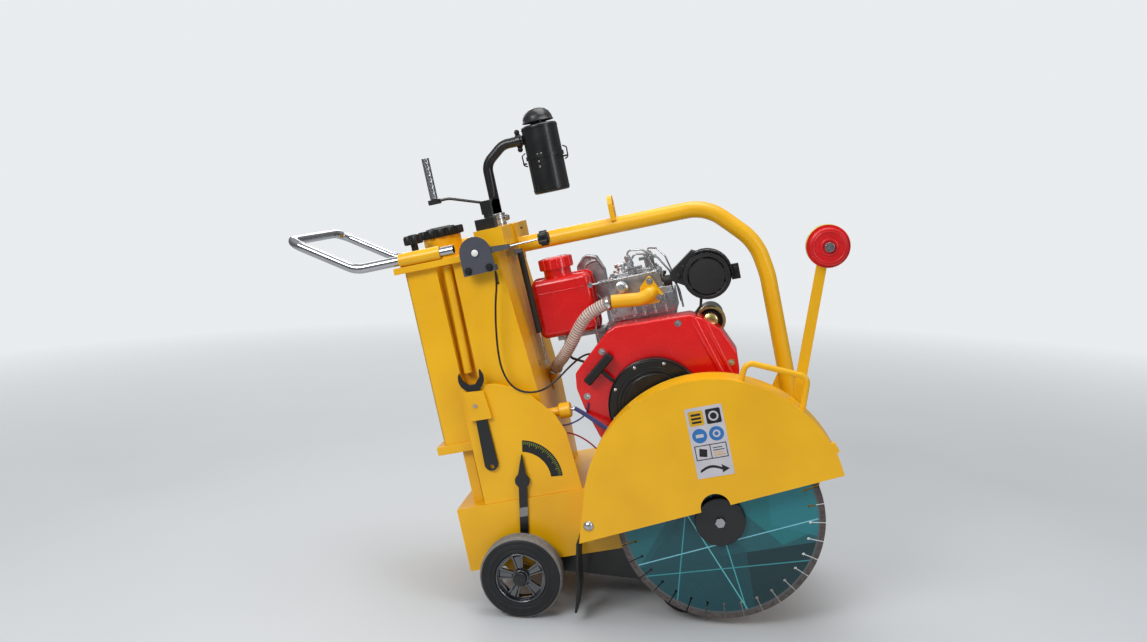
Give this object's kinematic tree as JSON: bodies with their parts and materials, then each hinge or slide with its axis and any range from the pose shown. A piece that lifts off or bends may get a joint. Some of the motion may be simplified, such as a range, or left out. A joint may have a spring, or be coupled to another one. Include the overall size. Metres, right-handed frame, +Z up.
{
  "type": "walk-behind concrete saw",
  "caption": "Walk-behind floor saw with a diesel engine, diamond blade under a lift-up guard, screw-lowered front wheels, water tank, guide arm and push handle.",
  "frame": {"origin": "on the ground, below the middle of the machine's length and width", "axes": "+X towards the front, +Y to the machine's left, +Z up; the machine stands nose up on its lowered front wheels"},
  "size_m": [1.3956, 0.5759, 1.2752],
  "materials": {
    "yellow_paint": "gloss enamel",
    "red_paint": "gloss enamel",
    "black_paint": "satin enamel",
    "slate_paint": "satin powder coat",
    "cast_aluminium": "as cast",
    "cast_iron": "as cast",
    "steel": "zinc plated",
    "chrome": "polished",
    "tyre_rubber": "moulded",
    "rubber": "matt",
    "black_plastic": "moulded",
    "clear_hose": "corrugated, translucent",
    "blue_hose": "braided",
    "wire": "insulated",
    "blade_steel": "printed steel",
    "segment": "sintered",
    "wheel_plastic": "moulded"
  },
  "bodies": {
    "chassis": {"base_frame": "yellow_paint", "depth_plate": "yellow_paint", "column_housing": "yellow_paint", "water_tank": "yellow_paint", "tank_stand": "yellow_paint", "handle_sleeves": "yellow_paint", "roll_bar": "yellow_paint", "guard_inner": "yellow_paint", "splash_flap": "rubber", "spanner_holder": "yellow_paint", "crankcase": "cast_aluminium", "cylinder_head": "cast_aluminium", "fan_shroud": "red_paint", "recoil_cover": "black_paint", "fuel_tank": "red_paint", "muffler": "black_paint", "intake_elbow": "yellow_paint", "starter_motor": "cast_aluminium", "air_hose": "clear_hose", "intake_pipe": "black_paint", "air_cleaner": "black_plastic", "throttle_housing": "slate_paint", "throttle_cable": "black_plastic", "water_hose": "blue_hose", "wiring": "wire", "gas_strut": "chrome", "shaft_bearings": "cast_iron", "belt_guard": "yellow_paint", "drive_belts": "rubber", "rear_axle": "steel", "screw_bearing": "black_paint", "frame_bolts": "steel"},
    "handlebar": {"handlebar": "chrome"},
    "lift_screw": {"lift_screw": "black_paint"},
    "crank_grip": {"crank_grip": "chrome"},
    "lift_nut": {"lift_nut": "steel"},
    "lift_arm": {"lift_arm": "black_paint"},
    "front_wheel_left": {"front_wheel_left": "tyre_rubber"},
    "front_wheel_right": {"front_wheel_right": "tyre_rubber"},
    "rear_wheel_left": {"rear_tyre_left": "tyre_rubber", "rear_rim_left": "chrome"},
    "rear_wheel_right": {"rear_tyre_right": "tyre_rubber", "rear_rim_right": "chrome"},
    "depth_pointer": {"depth_pointer": "black_paint"},
    "guard_cover": {"guard_cover": "yellow_paint"},
    "blade": {"blade_core": "blade_steel", "blade_segments": "segment", "blade_flanges": "black_paint", "blade_shaft": "steel"},
    "engine_crank": {"crankshaft": "steel", "flywheel": "cast_iron"},
    "throttle_lever": {"throttle_lever": "steel"},
    "recoil_handle": {"recoil_handle": "black_plastic"},
    "fuel_cap": {"fuel_cap": "red_paint"},
    "tank_cap": {"tank_cap": "black_plastic"},
    "guide_arm": {"guide_arm": "yellow_paint"},
    "guide_wheel": {"guide_wheel": "wheel_plastic"},
    "water_tap": {"water_tap": "yellow_paint"},
    "spanner": {"spanner": "black_paint"}
  },
  "joints": [
    {"name": "lift_arm_swing", "type": "hinge", "parent": "chassis", "child": "lift_arm", "pos_m": [-0.075, 0.01, 0.105], "axis": [0, -1, 0], "range_deg": [0, 23.7]},
    {"name": "lift_screw_turn", "type": "hinge", "parent": "chassis", "child": "lift_screw", "pos_m": [0.0052, -0.1, 0.12205], "axis": [0.2079, 0, -0.9781], "range_deg": [0, 1239]},
    {"name": "lift_nut_travel", "type": "slide", "parent": "chassis", "child": "lift_nut", "axis": [-0.2079, 0, 0.9781], "range_m": [0, 0.03446]},
    {"name": "depth_pointer_turn", "type": "hinge", "parent": "chassis", "child": "depth_pointer", "pos_m": [-0.08035, -0.196, 0.33696], "axis": [0, 1, 0], "range_deg": [0, 78]},
    {"name": "crank_grip_spin", "type": "hinge", "parent": "lift_screw", "child": "crank_grip", "pos_m": [-0.32001, -0.1, 1.03641], "axis": [-0.2079, 0, 0.9781], "continuous": true},
    {"name": "front_wheel_left_spin", "type": "hinge", "parent": "lift_arm", "child": "front_wheel_left", "pos_m": [0.33622, 0.171, 0.075], "axis": [0, 1, 0], "continuous": true},
    {"name": "front_wheel_right_spin", "type": "hinge", "parent": "lift_arm", "child": "front_wheel_right", "pos_m": [0.33622, -0.151, 0.075], "axis": [0, 1, 0], "continuous": true},
    {"name": "rear_wheel_left_spin", "type": "hinge", "parent": "chassis", "child": "rear_wheel_left", "pos_m": [-0.075, 0.255, 0.105], "axis": [0, 1, 0], "continuous": true},
    {"name": "rear_wheel_right_spin", "type": "hinge", "parent": "chassis", "child": "rear_wheel_right", "pos_m": [-0.075, -0.235, 0.105], "axis": [0, 1, 0], "continuous": true},
    {"name": "guard_cover_lift", "type": "hinge", "parent": "chassis", "child": "guard_cover", "pos_m": [0.09811, -0.28, 0.25732], "axis": [0, -1, 0], "range_deg": [0, 70]},
    {"name": "blade_spin", "type": "hinge", "parent": "chassis", "child": "blade", "pos_m": [0.4139, -0.235, 0.2723], "axis": [0, 1, 0], "continuous": true},
    {"name": "engine_spin", "type": "hinge", "parent": "chassis", "child": "engine_crank", "pos_m": [0.25089, 0.01, 0.53414], "axis": [0, 1, 0], "continuous": true},
    {"name": "throttle_lever_turn", "type": "hinge", "parent": "chassis", "child": "throttle_lever", "pos_m": [-0.19394, -0.195, 0.90986], "axis": [0, -1, 0], "range_deg": [0, 55]},
    {"name": "recoil_pull", "type": "slide", "parent": "chassis", "child": "recoil_handle", "axis": [-0.7777, 0, 0.6286], "range_m": [0, 0.18], "stiffness_N_per_m": 30, "springref_m": -0.25},
    {"name": "fuel_cap_lift", "type": "slide", "parent": "chassis", "child": "fuel_cap", "axis": [-0.2079, 0, 0.9781], "range_m": [0, 0.025]},
    {"name": "tank_cap_lift", "type": "slide", "parent": "chassis", "child": "tank_cap", "axis": [-0.2079, 0, 0.9781], "range_m": [0, 0.08]},
    {"name": "handlebar_slide", "type": "slide", "parent": "chassis", "child": "handlebar", "axis": [-0.9781, 0, -0.2079], "range_m": [0, 0.08]},
    {"name": "guide_arm_swing", "type": "hinge", "parent": "chassis", "child": "guide_arm", "pos_m": [0.57694, -0.1795, 0.46236], "axis": [0, 1, 0], "range_deg": [0, 88]},
    {"name": "guide_wheel_spin", "type": "hinge", "parent": "guide_arm", "child": "guide_wheel", "pos_m": [0.64555, -0.24, 0.93802], "axis": [0, 1, 0], "continuous": true},
    {"name": "water_tap_turn", "type": "hinge", "parent": "chassis", "child": "water_tap", "pos_m": [0.01017, -0.14, 0.5075], "axis": [0.9781, 0, 0.2079], "range_deg": [0, 90]},
    {"name": "spanner_lift", "type": "slide", "parent": "chassis", "child": "spanner", "axis": [-0.2079, 0, 0.9781], "range_m": [0, 0.2]}
  ],
  "couplings": [
    {"joint": "lift_screw_turn", "follows": "lift_arm_swing", "ratio": 52.27},
    {"joint": "lift_nut_travel", "follows": "lift_arm_swing", "m_per_rad": 0.08319},
    {"joint": "depth_pointer_turn", "follows": "lift_arm_swing", "ratio": 3.291},
    {"joint": "engine_spin", "follows": "blade_spin", "ratio": 1.2}
  ]
}
